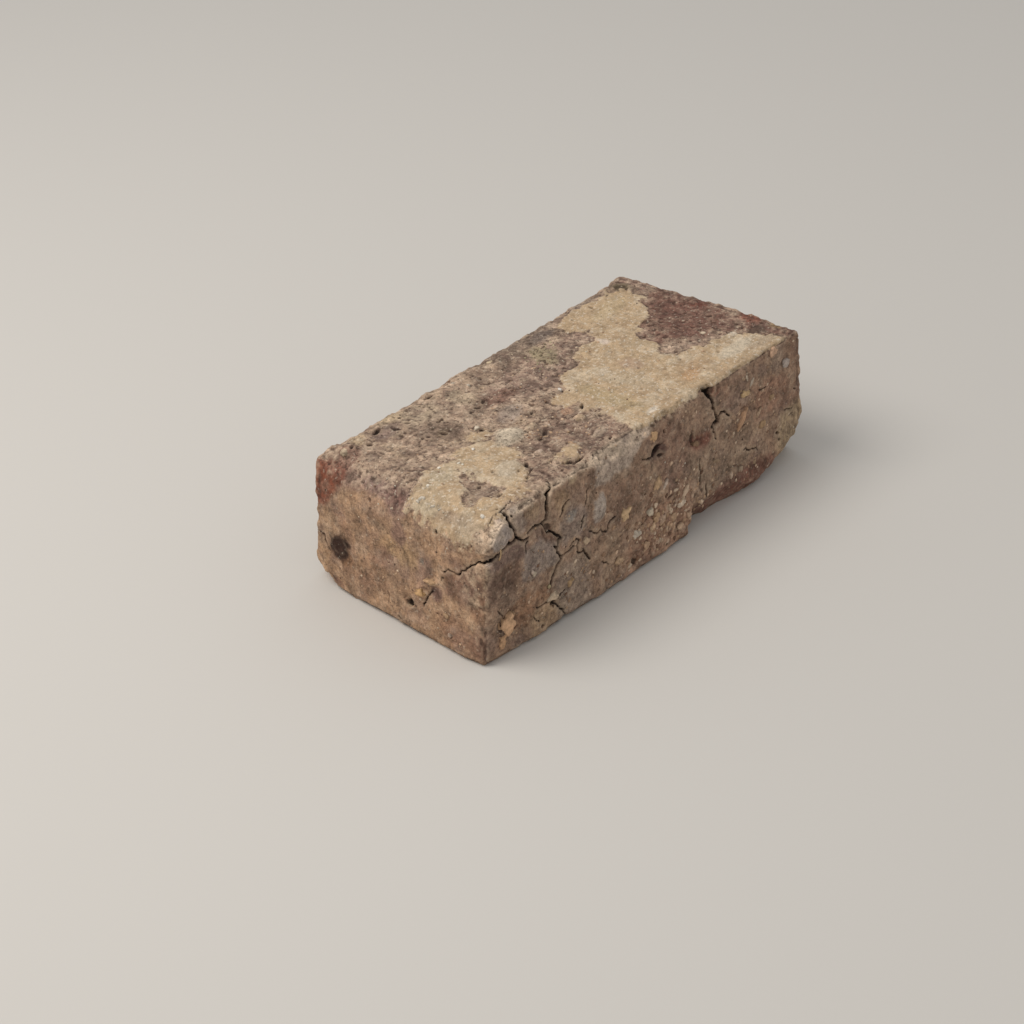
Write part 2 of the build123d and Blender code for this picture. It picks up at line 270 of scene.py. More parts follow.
groove_step = 0.8
groove_run_out = 4.5
shoulder = 3.2
sheet_depth = 7.0
sheet_step = 0.7
sheet_reach = 2.7
relax_passes = 700


def rows_of(table):
    """Every row of a table that is kept by face, with the name of its face in front."""
    return [(face, *row) for face, rows in table.items() for row in rows]


def on_face(face, u, v, w=0.0):
    """The point of a face's own plan, at a height w out from the middle of the brick."""
    return {"front": Vector((u, -w, v)), "header": Vector((-w, u, v)), "top": Vector((u, v, w))}[face]


def surface_finder(piece):
    """A function that gives the point of a piece's skin behind a point of a face's plan."""
    tree = BVHTree.FromObject(piece, bpy.context.evaluated_depsgraph_get())

    def find(face, u, v):
        hit = tree.ray_cast(on_face(face, u, v, beyond_skin) * mm, -outward[face])[0]
        if hit is None:
            hit = tree.find_nearest(on_face(face, u, v, face_level[face]) * mm)[0]
        return hit / mm

    return find


def spaced(points, step):
    """Points of the same type every step along a line, with the share of the whole at each."""
    lengths = [(b - a).length for a, b in zip(points, points[1:])]
    whole = sum(lengths)
    passed = 0.0
    found = []
    for a, b, length in zip(points, points[1:], lengths):
        count = max(1, round(length / step))
        found += [(a.lerp(b, i / count), (passed + length * i / count) / whole) for i in range(count)]
        passed += length
    return found + [(points[-1], 1.0)]


def tree_of(places):
    """A tree that finds the nearest of many places."""
    tree = KDTree(len(places))
    for index, place in enumerate(places):
        tree.insert(place, index)
    tree.balance()
    return tree


points = read(body.data.vertices, "co", np.float32, 3).astype(float) / mm
edges = read(body.data.edges, "vertices", np.int32, 2)
find = surface_finder(body)
sheets = []
for face, *marks in rows_of(grooves):
    over_arris = [(u, v + groove_run_out) for u, v in marks[:1] if face == "front" and v > 64]
    for place, share in spaced([Vector(mark) for mark in over_arris + marks], groove_step):
        around = [
            find(face, place.x + shoulder * math.cos(turn), place.y + shoulder * math.sin(turn))
            for turn in range(6)
        ]
        level = max(point.dot(outward[face]) for point in around)
        flat = on_face(face, *place)
        steps = int(sheet_depth / sheet_step)
        sheets += [flat + outward[face] * (level - sheet_step * step) for step in range(steps)]
tree = tree_of(sheets)
loose = np.array([tree.find(point)[2] < sheet_reach for point in points.tolist()])
relax(points, edges, loose, relax_passes)
write_points(body.data, points)

# The relief of the skin. Every height is in millimetres along the smoothed normal:
# lumps from the mould, flaking layers on the sides, pits, chips, mounds and the cracks.
edge_count = np.bincount(edges.ravel(), minlength=len(points))
even_passes = 6
rub_passes = 5
still_flat = 0.985
foot_height = 3


def smoothstep(low, high, value):
    share = np.clip((value - low) / (high - low), 0, 1)
    return share * share * (3 - 2 * share)


def soft_normals():
    """Outward directions of the skin, evened out over about 2 mm."""
    found = read(body.data.vertex_normals, "vector", np.float32, 3).astype(float)
    for _ in range(even_passes):
        found = neighbour_mean(found, edges, edge_count)
    return found / np.linalg.norm(found, axis=1)[:, None]


# The arrises are rubbed round, above the foot
normals = soft_normals()
for _ in range(rub_passes):
    rubbed = (np.abs(normals).max(axis=1) < still_flat) & (points[:, 2] > foot_height)
    points[rubbed] = neighbour_mean(points, edges, edge_count)[rubbed]
write_points(body.data, points)
normals = soft_normals()


def rough(size, octaves, seed):
    """Fractal noise of about -1 to 1 at the skin's points, in lumps about size millimetres wide."""
    shifted = (points / size + (seed * 13.7, seed * 5.3, seed * 9.1)).tolist()
    return np.array([noise.fractal(place, 1.0, 2.1, octaves) for place in shifted])


x, y, z = points.T
plan = {
    "top": (x, y, smoothstep(0.45, 0.75, normals[:, 2])),
    "front": (x, z, smoothstep(0.45, 0.7, -normals[:, 1])),
    "header": (y, z, smoothstep(0.45, 0.7, -normals[:, 0])),
}
on_top, on_front, on_header = [weight for _, _, weight in plan.values()]
swell = rough(22, 3, 1)
lump = rough(7, 3, 2)
grain = rough(2.4, 2, 3)
dust = rough(1.0, 1, 4)
tear = rough(5, 3, 5)


def pressed_stones(size, seed, where):
    """Round heads of gravel about size millimetres apart: each point's height on one, and its number."""
    rise = np.zeros(len(points))
    own = np.zeros(len(points))
    for index in np.nonzero(where)[0]:
        away, middles = noise.voronoi(Vector(points[index]) / size + Vector((seed, 0, 0)))
        own[index] = noise.cell(middles[0] * 37.0)
        rise[index] = max(0.0, 1 - (away[0] / (0.34 + 0.14 * own[index])) ** 2)
    return rise, own


def outline_depth(face, outline):
    """How far inside an outline on a face each point is, in millimetres, less than 0 outside."""
    u, v, _ = plan[face]
    nearest = np.full(len(u), 1e9)
    inside = np.zeros(len(u), bool)
    for (u0, v0), (u1, v1) in zip(outline, outline[1:] + outline[:1]):
        du, dv = u1 - u0, v1 - v0
        share = np.clip(((u - u0) * du + (v - v0) * dv) / (du * du + dv * dv), 0, 1)
        nearest = np.minimum(nearest, np.hypot(u - u0 - share * du, v - v0 - share * dv))
        if dv:
            inside ^= ((v0 > v) != (v1 > v)) & (u < u0 + (v - v0) * du / dv)
    return np.where(inside, nearest, -nearest)


def oval_share(face, u0, v0, long, wide, turn):
    """Distance from the middle of an oval on a face: 0 there, and 1 at its rim."""
    u, v, _ = plan[face]
    c, s = math.cos(math.radians(turn)), math.sin(math.radians(turn))
    along = ((u - u0) * c + (v - v0) * s) / (long / 2)
    across = ((v - v0) * c - (u - u0) * s) / (wide / 2)
    return np.hypot(along, across)


# The sandy ochre layer left on the bed face by mortar and mould sand: (width of its edge,
# outline). It stands a little proud of the fired clay, ends in a ragged edge, and is bare
# over one dark hollow near the header.
sand_outlines = {"top": [
    (6, [(-8, -52), (-6, -40), (-5, -30), (-3, -23), (-9, -18), (-3, -14), (-9, -9), (-10, -4), (-7, 0),
     (4, 1), (6, 6), (10, 10), (25, 10), (28, 18), (34, 20), (49, 20), (52, 28), (47, 34), (46, 40),
     (51, 45), (70, 47), (80, 45), (90, 48), (96, 48), (98, 40), (95, 33), (95, 28), (89, 26), (88, 21),
     (84, 17), (76, 13), (67, 10), (62, 6), (60, 0), (60, -6), (55, -11), (56, -18), (66, -21), (72, -25),
     (80, -25), (84, -27), (91, -27), (91, -30), (95, -33), (95, -41), (100, -44), (101, -54)]),
    (13, [(-112, -4), (-100, -1), (-92, -1), (-86, 2), (-80, 0), (-74, -3), (-66, 3), (-60, 0), (-52, -3),
     (-50, -12), (-52, -20), (-58, -27), (-64, -34), (-70, -38), (-72, -45), (-84, -43), (-101, -44),
     (-112, -44)]),
    (9, [(-49, -37), (-44, -33), (-36, -34), (-34, -38), (-39, -42), (-47, -41)]),
    (9, [(-56, 4), (-52, 8), (-45, 5), (-46, 0), (-54, -1)]),
], "header": [
    (13, [(-2, 70), (-3, 58), (-12, 55), (-20, 53), (-33, 51), (-41, 56), (-44, 62), (-45, 70)]),
]}
bare_fade = 7
bare_outline = [
    (-78, -8), (-76, -14), (-80, -19), (-77, -25), (-78, -31), (-76, -35), (-84, -36), (-88, -31),
    (-95, -32), (-95, -26), (-88, -21), (-85, -16), (-80, -10),
]
ragged = 1.5 * lump + 1.5 * tear + 1.0 * grain
sand = np.zeros(len(points))
sand_fade = np.zeros(len(points))
for face, fade, outline in rows_of(sand_outlines):
    inside = outline_depth(face, outline) + ragged
    on_plan = plan[face][2]
    sand = np.maximum(sand, smoothstep(-0.15 * fade, 0.15 * fade, inside) * on_plan)
    sand_fade = np.maximum(sand_fade, np.clip(0.5 + inside / fade, 0, 1) * on_plan)
inside = outline_depth("top", bare_outline) + ragged
sand *= 1 - 0.9 * smoothstep(-0.9, 0.9, inside) * on_top
sand_fade = np.minimum(sand_fade, np.clip(0.5 - inside / bare_fade, 0, 1) * on_top + 1 - on_top)

# Mounds that stand up and hollows that are sunk: (middle, length, width, turn, height or depth)
mounds = {"top": [
    (-44.5, -7, 17, 14, 20, 0.8), (-65, -25, 14, 11, 15, 0.6), (-42, -37.5, 15, 9, 15, 0.8),
    (-31.5, -9, 7, 6, 20, 1), (-13.5, -21, 5.5, 6, 10, 0.9), (-47, -26.5, 5, 5, 0, 0.8),
    (-33, -34, 6, 8, 60, 0.7), (-18, -35, 12, 5, 15, 0.6), (-46.5, 8.5, 4, 3.5, 0, 0.8),
    (-93, 41, 9, 8, 40, 0.9), (-62, 46, 12, 7, 0, 0.8), (88, -28, 8, 4, 10, 0.7),
    (98.5, 45.5, 8, 12, 15, 0.7),
], "front": [
    (-99, 14.5, 9, 10, -40, 0.9), (-38, 42, 10, 14, 0, 0.7), (-98, 59, 16, 13, -10, 0.4),
    (-68.5, 14.2, 8, 3, -15, 1.1), (-56, 46.5, 8, 6, 10, 0.5),
], "header": [
    (-14, 22, 8, 4.5, -25, 0.8), (-19, 29, 8, 3.5, -10, 0.7), (49, 12, 14, 24, 12, 0.8),
    (-46, 29, 9, 2.5, -15, 0.4), (37, 23.6, 12, 12, 25, 0.5),
]}
hollows = {"top": [
    (-5, -15.4, 6.5, 1.9, 35, 2), (-22, -1, 4.2, 1.6, 35, 1.8), (-29, -1.2, 2.4, 1.4, 30, 1.2),
    (-50, 26.5, 5.6, 1.9, 12, 2), (-57.5, -28.4, 6, 2.2, 38, 1.6), (-61, -33.3, 8, 1.3, 24, 0.9),
    (-65.5, -35.6, 4, 2, 30, 1.2), (-45.6, 6.4, 3.6, 2.4, -20, 1.8), (-46, -42, 5, 1.8, -15, 1.8),
    (-42, -43.4, 9, 1.8, 5, 1.5), (-18.5, -42, 4.6, 1.6, 30, 1.6), (-38, 45, 8, 2.4, 5, 1.8),
    (-73, 43.4, 6, 3, 15, 1.6), (-67, 37.5, 3.5, 6, 10, 1.2), (-84, 37, 3, 3, 0, 1.6),
    (-92, 39.6, 4.5, 2, 30, 1.2), (-58, 18, 3, 4.5, 30, 1), (-67, 21.8, 2.6, 1.6, 20, 1.2),
    (71.6, 42, 2.8, 3, 0, 1.5), (56.6, 41, 2.4, 1.6, 20, 1), (101, 48, 3, 7, 15, 0.6),
    (87, 44.6, 6, 1.8, 25, 1.2), (22.5, -27, 2.2, 1.5, 25, 1.2), (54.6, -23.5, 2.6, 1.5, 20, 1),
    (37, -13.6, 2, 1.4, 30, 0.8), (70, -33.4, 2, 1.4, 30, 0.8), (-74, -38.8, 2, 1.5, 20, 1),
    (-82.5, -35.5, 5, 1.6, 10, 1.2), (-70.5, -21, 2.2, 1.8, 30, 1), (-82, -23.6, 2.4, 1.8, 20, 1),
    (-37, 20.6, 5, 2.2, 20, 1), (-31, 22.4, 4, 2.6, 0, 1.2), (-26, 23.6, 4, 2, 30, 1),
    (-37, -18.8, 4, 2.4, 25, 1.1), (-31.5, -16.6, 5, 2.2, 35, 1.1), (-35.8, -9.8, 1.6, 4, 0, 1.1),
    (-104, 39, 3, 8, 0, 0.8), (1.4, 1, 2.6, 2.4, 0, 1.2), (-47, 9.6, 2, 1, 0, 0.6),
], "header": [
    (-5.8, 13.4, 5, 2.8, -10, 2.2), (-9.6, 13.7, 3, 1, -10, 1.5), (-21, 53.5, 2.2, 2, 20, 1.8),
    (-0.3, 3.8, 3.2, 1.7, 35, 1.8), (-22, 24.5, 8, 5, 40, 0.45), (17.8, 54, 3.4, 2.2, 30, 0.7),
    (16.4, 50.6, 1.6, 2, 0, 0.4), (-47.5, 12, 4, 6, 0, 0.8), (44, 4.6, 9, 3, 5, 1),
    (46.6, 25, 2.5, 2.5, 0, 1), (6.2, 11, 0.9, 7, 4, 0.6), (-34.2, 51.8, 2.6, 1.2, 0, 0.8),
], "front": [
    (4.4, 50.2, 6, 4, 50, 0.9), (6.4, 47.2, 4.4, 2.2, -10, 1.3), (-9.6, 20.7, 1.8, 2.2, 0, 1.8),
    (9.4, 25.9, 5, 1.4, 5, 1.6), (10, 57.4, 1.5, 3, 20, 1.4), (-6.9, 34.6, 2, 1.2, -10, 1.2),
    (-70.5, 12.2, 4.4, 2.8, -10, 2.6), (-77.6, 4, 2.2, 2, 0, 1.6), (-93.8, 1.8, 2, 2, 0, 1.4),
    (90.6, 20.4, 4, 1.6, -25, 1.6), (92, 16.4, 3, 1.5, -20, 1.2), (106, 36.4, 3.4, 1.4, -35, 1.2),
    (66, 34.6, 4, 1.5, 20, 1.2), (29, 45, 3, 8, 5, 0.8), (4, 51, 8, 7, 0, 0.7),
    (-92, 17.5, 5, 8, -20, 0.35), (-102.6, 16.5, 2, 5, 0, 1), (-69, 48, 7, 4, -50, 1.1),
    (43, 62, 6, 5, 0, 1.2), (45.6, 46, 4, 5, 0, 1), (-94, 11, 6, 2, 20, 1),
    (4.4, 19.4, 2, 1.4, 0, 1), (-17.6, 6, 4, 4, 0, 1),
]}
smooth_lenses = [(-44.5, -7, 17, 14, 20), (-65, -25, 14, 11, 15)]
# Stones in the clay: (colour, height of the head, middle, length, width, turn)
pebbles = {"front": [
    ((212, 172, 136), 2.2, -98.6, 16.2, 8.4, 9.6, -25), ((204, 164, 128), 1.9, -100.6, 9.4, 4.6, 8.6, -8),
    ((200, 164, 126), 1.3, 1.8, 58.7, 4.6, 5.2, 20), ((206, 190, 168), 1.3, -4.2, 24.5, 2.8, 4.2, 25),
    ((208, 194, 176), 1.3, -14.8, 18.2, 4.8, 3.4, -15), ((212, 180, 142), 1.6, -21.6, 31.8, 6.4, 4.4, 30),
    ((188, 164, 138), 1.1, -47.3, 31.3, 3.6, 3.2, 0), ((186, 170, 150), 0.9, -80, 31.4, 2.4, 2.2, 0),
    ((200, 166, 132), 1.3, -0.8, 20.4, 4.2, 4, 0), ((210, 180, 148), 1.2, -3.4, 16.8, 4.4, 1.9, 50),
    ((212, 192, 170), 1.4, 16.6, 18.8, 5.6, 2.8, -10), ((210, 184, 158), 1.4, 19.6, 23, 7.6, 2, 55),
    ((202, 182, 164), 1.2, 6.9, 33.1, 4.4, 1.6, 45), ((196, 164, 130), 1.4, 2, 35.8, 6.4, 3.6, 45),
    ((196, 156, 124), 1.4, 63.7, 39.3, 9.4, 3.8, 50), ((188, 160, 134), 1, 76, 36.6, 5, 2.2, 45),
    ((184, 168, 150), 0.8, 72.1, 54.3, 3.8, 1.5, 50), ((190, 172, 152), 0.9, 69, 58, 1.8, 3.2, 10),
    ((196, 166, 126), 1.2, 67.5, 51.2, 6.4, 2.8, -5), ((206, 170, 142), 1.3, 89.6, 62, 5, 4.8, 0),
    ((182, 168, 158), 1.1, 99.6, 52.4, 5.2, 4.6, 20), ((196, 172, 150), 0.9, 53.5, 15.4, 2, 3.2, 10),
    ((174, 152, 130), 0.9, 61, 15.2, 3, 3, 0), ((164, 138, 112), 0.8, 72, 14, 3.2, 2.6, 0),
    ((196, 164, 134), 1.2, 10.4, 15, 4.6, 3.4, 20), ((190, 158, 130), 1.1, -8.4, 9.6, 4.6, 3.6, -20),
    ((196, 166, 136), 1.2, -27, 11.6, 5, 4, 15), ((144, 116, 92), 0.7, 31.4, 41.4, 4.4, 3, -10),
    ((170, 140, 108), 0.8, 79.4, 30.4, 4.2, 3.4, 20), ((160, 136, 112), 0.8, 44.6, 26.8, 4, 3, -15),
    ((176, 146, 112), 0.8, -58.4, 16.6, 4, 3.2, 15), ((168, 140, 110), 0.8, 87, 40.4, 3.6, 3, 0),
    ((194, 164, 138), 1.2, 22.4, 10.4, 4.8, 3.4, -15), ((206, 176, 148), 1.2, 14.6, 8.4, 3.6, 2.8, 10),
    ((224, 212, 198), 0.8, -67.8, 45.6, 1.3, 1.2, 0), ((196, 176, 160), 0.7, -81.3, 32.7, 1.6, 2.4, 20),
    ((180, 164, 130), 0.7, -71.9, 21, 1.8, 1.8, 0), ((204, 182, 156), 1.2, -70.6, 15.8, 5.6, 2.6, 10),
], "top": [
    ((194, 170, 144), 0.7, -31.2, -9.2, 6, 5.4, 20), ((196, 170, 142), 0.8, -13.4, -21.4, 5, 5.6, 10),
    ((190, 168, 150), 0.8, -47, -26.6, 4.2, 4, 0), ((222, 214, 204), 0.9, 1.6, 2.8, 2.2, 2.6, 20),
    ((196, 178, 156), 0.8, 82, -15, 3, 4.2, 0), ((206, 192, 172), 0.8, -47, 8.6, 2.8, 2.4, 0),
    ((208, 194, 176), 0.7, -19.6, 38, 2.6, 2.4, 0), ((204, 190, 172), 0.7, -22, 45, 2.8, 2.4, 0),
    ((198, 178, 150), 0.8, 2.6, 45, 3.4, 3, 0), ((196, 176, 150), 0.8, -96, 40, 4.6, 3.8, 20),
    ((194, 174, 148), 0.8, -84.4, 42.6, 5, 3.6, 10), ((190, 168, 138), 0.8, -63.6, 46, 5.6, 3.6, 0),
    ((180, 150, 122), 0.7, -33.4, -34, 2.8, 5.6, -10), ((186, 156, 128), 0.7, -33, -18.4, 3, 4.4, 20),
    ((228, 220, 206), 0.7, -97.3, -39, 2.6, 1.6, 60), ((224, 216, 204), 0.7, -61.8, -2.3, 2, 1.6, 20),
    ((228, 220, 206), 0.7, -81.9, -1.1, 1.6, 1.6, 0), ((228, 218, 202), 0.7, -94.6, -6.4, 2.4, 1.7, 30),
    ((210, 200, 184), 0.6, -100, -7.8, 4.2, 3.2, 40), ((208, 198, 182), 0.5, -101.8, -7.2, 2.6, 1.2, 60),
    ((214, 206, 190), 0.7, -73.7, -7.2, 2.2, 1.4, 30), ((220, 212, 196), 0.7, -73.8, -5, 2, 1.2, 10),
    ((208, 196, 178), 0.5, -101, -14.8, 3.6, 1.9, -30), ((216, 206, 190), 0.6, -100.8, -19, 2.2, 1.2, -30),
], "header": [
    ((198, 160, 116), 1.1, -13.6, 22.2, 5.2, 3, -30), ((190, 156, 122), 0.9, -18.4, 29.4, 5.6, 2.6, -10),
    ((176, 146, 116), 0.8, -27.6, 16.6, 3.4, 2.4, 20), ((172, 150, 132), 0.6, -30.4, 8.4, 1.9, 1.6, 0),
]}

gravel = np.exp(-(((x - 10) / 30) ** 2 + ((z - 12) / 15) ** 2))
gravel = on_front * smoothstep(0.25, 0.75, gravel + 0.5 * rough(16, 2, 11))
coarse, coarse_own = pressed_stones(6.5, 3.0, gravel > 0.05)
small, small_own = pressed_stones(3.1, 8.0, gravel + on_top * (1 - sand) > 0.05)
height = 0.42 * swell + 0.30 * lump + (0.06 + 0.09 * on_top) * grain + 0.05 * dust
flow = rough(15, 3, 6) * 2.4
layer = np.floor(flow) + smoothstep(0.30, 0.70, flow - np.floor(flow))
height += 0.30 * (layer + 0.35) * (0.30 + 0.70 * on_front)
height += 0.8 * coarse * gravel * (coarse_own > 0.1) + 0.32 * small * np.maximum(gravel, 0.5 * on_top)
height += 0.5 * (sand - 0.4)
for on_plan in (on_top, on_front, on_header):
    height -= (height[on_plan > 0.9].mean() + 0.05) * on_plan

# The next mask marks where shade is painted dark into the clay's colour: in the sunk hollows, in the groove
# round each pebble, and inside and along the cracks.
painted_recess_shade = np.zeros(len(points))
for face, *oval, rise in rows_of(mounds):
    share = oval_share(face, *oval) + 0.16 * lump
    height += rise * smoothstep(1.05, 0.55, share) * plan[face][2]
for face, *oval, drop in rows_of(hollows):
    share = oval_share(face, *oval) + 0.22 * tear
    dip = smoothstep(1.15, 0.35, share) * plan[face][2]
    height -= drop * dip
    painted_recess_shade = np.maximum(painted_recess_shade, smoothstep(0.35, 0.9, dip) * min(1, drop / 1.9))
# Each pebble sits in a sunk groove, and shade is painted into the groove.
for face, shade, head, u0, v0, long, wide, turn in rows_of(pebbles):
    share = oval_share(face, u0, v0, 1.15 * long, 1.15 * wide, turn) + 0.15 * grain
    rim = smoothstep(1.6, 1.15, share) * smoothstep(0.6, 0.95, share) * plan[face][2]
    rim *= smoothstep(-0.25, 0.35, tear)
    height -= 0.24 * rim
    painted_recess_shade = np.maximum(painted_recess_shade, 0.2 * rim)

pitting = 0.12 + on_top * (0.18 + 0.5 * (1 - sand))
for lens in smooth_lenses:
    pitting *= smoothstep(0.7, 1.1, oval_share("top", *lens))
# Pocks are pits sunk into the skin; the clay's material also paints shade into them.
pocks_and_painted_shade = smoothstep(0.32, 0.62, rough(2.6, 2, 7)) * pitting
height -= 0.55 * pocks_and_painted_shade

# The arrises: chipped along the front, rubbed at the foot, and full at the back and the far end
corner = smoothstep(0.04, 0.20, 1 - np.abs(normals).max(axis=1))
low_arris = corner * smoothstep(14, 3, z)
front_arris = corner * smoothstep(-30, -44, y) * smoothstep(40, 56, z)
height += corner * (0.5 * lump + 0.7 * tear - 0.1)
height -= front_arris * 1.3 * smoothstep(-0.1, 0.5, tear) + low_arris * 0.3 * np.abs(lump)
height += 0.5 * corner * smoothstep(30, 46, y) * smoothstep(30, 56, z)
height += 1.1 * corner * smoothstep(92, 104, x) * smoothstep(10, 25, z)
height += 0.9 * corner * smoothstep(-88, -98, x) * smoothstep(35, 46, y)
near_foot = smoothstep(17, 4, np.linalg.norm(points - (-111, -54, 1), axis=1) + 3 * tear)
height -= near_foot * (0.8 + 0.7 * corner)

# Each crack wanders off its marks, varies in width, and runs out at its ends; the widest
# ones are open where they start. Their lips are rubbed down. Shade is painted dark inside
# each crack, and faintly along its lips.
crack_step = 0.22
bend_step = 1.3
wander = 0.5
lip_width = 1.6
crack_reach = 3.0
random.seed(31)
lines = []
find = surface_finder(body)
for face, start, stop, depth, marks in rows_of(cracks):
    bent = []
    for place, share in spaced([Vector(mark) for mark in marks], bend_step):
        loosen = 0.0 if share in (0.0, 1.0) else wander
        bent.append(place + Vector((random.uniform(-loosen, loosen), random.uniform(-loosen, loosen))))
    for place, share in spaced(bent, crack_step):
        wide = start + (stop - start) * share
        wavy = abs(noise.noise((place.x / 2.3, place.y / 2.3, 3.3)))
        wide *= 0.72 + 0.9 * wavy + 0.25 * random.random()
        open_end = 0.65 if start > 0.55 and share < 0.5 else 0
        sunk = depth * min(1, 0.35 + 2.2 * min(share, 1 - share) + open_end)
        lines.append((find(face, *place), wide, sunk))
tree = tree_of([place for place, wide, sunk in lines])
for index, point in enumerate(points.tolist()):
    place, nearest, away = tree.find(point)
    if away > crack_reach:
        continue
    wide, sunk = lines[nearest][1:]
    share = away / wide
    if share < 1:
        height[index] -= sunk * (1 - share * share) ** 0.5
        painted_recess_shade[index] = max(painted_recess_shade[index], min(1, 1.6 * (1 - share) + 0.35))
    else:
        lip = max(0.0, 1 - (away - wide) / lip_width)
        height[index] -= 0.28 * lip * lip * min(1.5, wide)
        painted_recess_shade[index] = max(painted_recess_shade[index], 0.28 * lip ** 3)

# Dents are where the skin lies lower than its surroundings. The bed that it lies on is plain
dent_passes = 8
dent_depth = 0.22
margin = 0.1
foot_flat = 0.35
blurred = height[:, None]
for _ in range(dent_passes):
    blurred = neighbour_mean(blurred, edges, edge_count)
# The clay's material darkens the dents with grime and painted shade, and pales the crests.
cavity = np.clip((blurred[:, 0] - height) / dent_depth, -1, 1)
height = height * (1 - 0.6 * smoothstep(-0.6, -0.9, normals[:, 2]))
points += normals * height[:, None]
low = np.array(cad_box[0]) / mm + (margin, margin, 0.0)
high = np.array(cad_box[1]) / mm - margin
points = np.clip(points, low, high)
points[:, 2] = np.where(points[:, 2] < foot_flat, 0.0, points[:, 2])
write_points(body.data, points)

# The colours of the skin, painted as outlines and ovals over each face's own clay:
# (colour, strength, softness of the edge in millimetres, outline), then the ovals as
# (colour, strength, middle, length, width, turn).
face_clay = {
    "header": paint(168, 135, 107),
    "front": paint(154, 126, 105),
    "top": paint(166, 142, 122),
}
hidden_clay = paint(150, 123, 101)
outlines = {"top": [
    ((118, 88, 76), 0.95, 1, [(60, 0), (62, 6), (67, 8), (75, 5), (81, 8), (85, 15), (90, 22), (95, 27),
     (104, 31), (116, 34), (116, -54), (103, -52), (101, -46), (97, -42), (95, -33), (92, -30), (91, -26),
     (84, -24), (80, -21), (76, -17), (74, -12), (68, -9), (62, -8)]),
    ((136, 110, 98), 0.8, 2, [(98, 30), (116, 32), (116, 58), (98, 52), (102, 42)]),
    ((168, 143, 125), 0.8, 2.5, [(55, -9), (66, -9), (74, -12), (79, -18), (82, -24), (72, -25), (64, -20),
     (56, -17)]),
    ((140, 115, 100), 0.8, 2, [(-60, -30), (-52, -24), (-40, -16), (-28, -12), (-14, -8), (-8, -12),
     (-9, -20), (-8, -44), (-30, -49), (-60, -47), (-66, -42), (-63, -35)]),
    ((146, 121, 107), 0.8, 3, [(-24, 14), (-26, 28), (-6, 32), (6, 36), (30, 34), (50, 34), (50, 22),
     (28, 20), (24, 11), (4, 8), (-10, 8)]),
    ((124, 107, 94), 0.8, 2.5, [(2, 36), (22, 38), (44, 40), (50, 47), (50, 58), (4, 58)]),
    ((180, 162, 138), 0.7, 2.5, [(-62, 30), (-44, 28), (-42, 40), (-50, 45), (-62, 44)]),
], "header": [
    ((136, 110, 104), 0.75, 2.5, [(25, 64), (24, 56), (10, 56), (2, 52), (-3, 54), (-2, 64)]),
    ((138, 112, 101), 0.6, 3, [(-8, 39), (-18, 40), (-20, 28), (-12, 24), (-8, 30)]),
    ((130, 104, 93), 0.8, 2, [(38, 61), (24, 61), (24, 55), (33, 54), (37, 50)]),
    ((125, 74, 55), 1, 1.5, [(58, 60), (47, 61), (34, 60), (35, 54), (40, 47), (43, 42), (50, 38),
     (56, 35)]),
    ((176, 142, 110), 0.85, 1, [(58, -2), (57, 20), (50, 25), (46, 24), (43, 18), (45, 8), (47, -2)]),
    ((126, 95, 75), 0.85, 2, [(-26, 38), (-34, 39), (-40, 44), (-47, 48), (-50, 30), (-48, 20),
     (-38, 24), (-26, 28)]),
], "front": [
    ((164, 152, 144), 0.85, 1, [(-104, 53), (-96, 53), (-91, 55), (-90, 58), (-93, 63), (-104, 63)]),
    ((162, 146, 134), 0.7, 1.2, [(-88, 53), (-83, 54), (-84, 66), (-92, 66), (-91, 59)]),
    ((122, 100, 92), 0.8, 1.5, [(-106, 50), (-96, 51), (-88, 51), (-82, 47), (-84, 42), (-96, 44),
     (-106, 43)]),
    ((150, 136, 127), 0.8, 1.2, [(-88, 30), (-74, 29), (-64, 30), (-66, 36), (-64, 40), (-74, 46),
     (-84, 44)]),
    ((148, 130, 118), 0.8, 1.2, [(-62, 36), (-47, 36), (-44, 44), (-48, 50), (-58, 52), (-62, 46)]),
    ((174, 161, 150), 0.9, 0.7, [(-41, 36), (-34, 37), (-33, 48), (-36, 49), (-41, 47)]),
    ((184, 166, 150), 0.85, 1.2, [(-38, 51), (-13, 53), (-9, 58), (0, 61), (0, 66), (-36, 66)]),
    ((102, 79, 66), 0.8, 2, [(-107, 30), (-92, 29), (-88, 36), (-90, 43), (-105, 43)]),
    ((134, 106, 88), 0.6, 3, [(-31, 28), (-6, 30), (-6, 48), (-30, 49)]),
    # This dark patch is painted shade in the spalled recess under the crack.
    ((110, 84, 70), 0.8, 1.2, [(-73, 50), (-66, 45), (-62, 40), (-66, 39), (-74, 45)]),
    ((146, 110, 84), 0.75, 2.5, [(-94, 9), (-72, 12), (-70, 22), (-88, 24), (-94, 20)]),
    ((170, 142, 112), 0.7, 2.5, [(-85, 0), (-66, 0), (-64, 10), (-72, 14), (-84, 13)]),
    ((150, 132, 117), 0.8, 3, [(-68, 0), (-48, 0), (-46, 20), (-52, 27), (-64, 28), (-69, 18)]),
    ((150, 128, 108), 0.6, 4, [(24, 12), (66, 14), (70, 34), (50, 40), (24, 38)]),
    ((136, 106, 90), 0.6, 3, [(2, 34), (24, 34), (24, 60), (6, 60)]),
    ((172, 150, 120), 0.75, 4, [(86, 2), (114, 2), (114, 30), (94, 28)]),
    ((150, 112, 92), 0.6, 3, [(74, 34), (96, 32), (104, 44), (90, 52), (74, 50)]),
    ((120, 76, 63), 0.85, 2, [(24, 46), (32, 46), (40, 45), (42, 42), (40, 38), (34, 37), (28, 40)]),
    ((124, 84, 71), 0.85, 3, [(26, 0), (26, 9), (44, 14), (70, 15), (92, 10), (90, 0)]),
    ((160, 124, 102), 0.7, 4, [(-24, 0), (-20, 16), (-4, 26), (24, 24), (24, 0)]),
]}
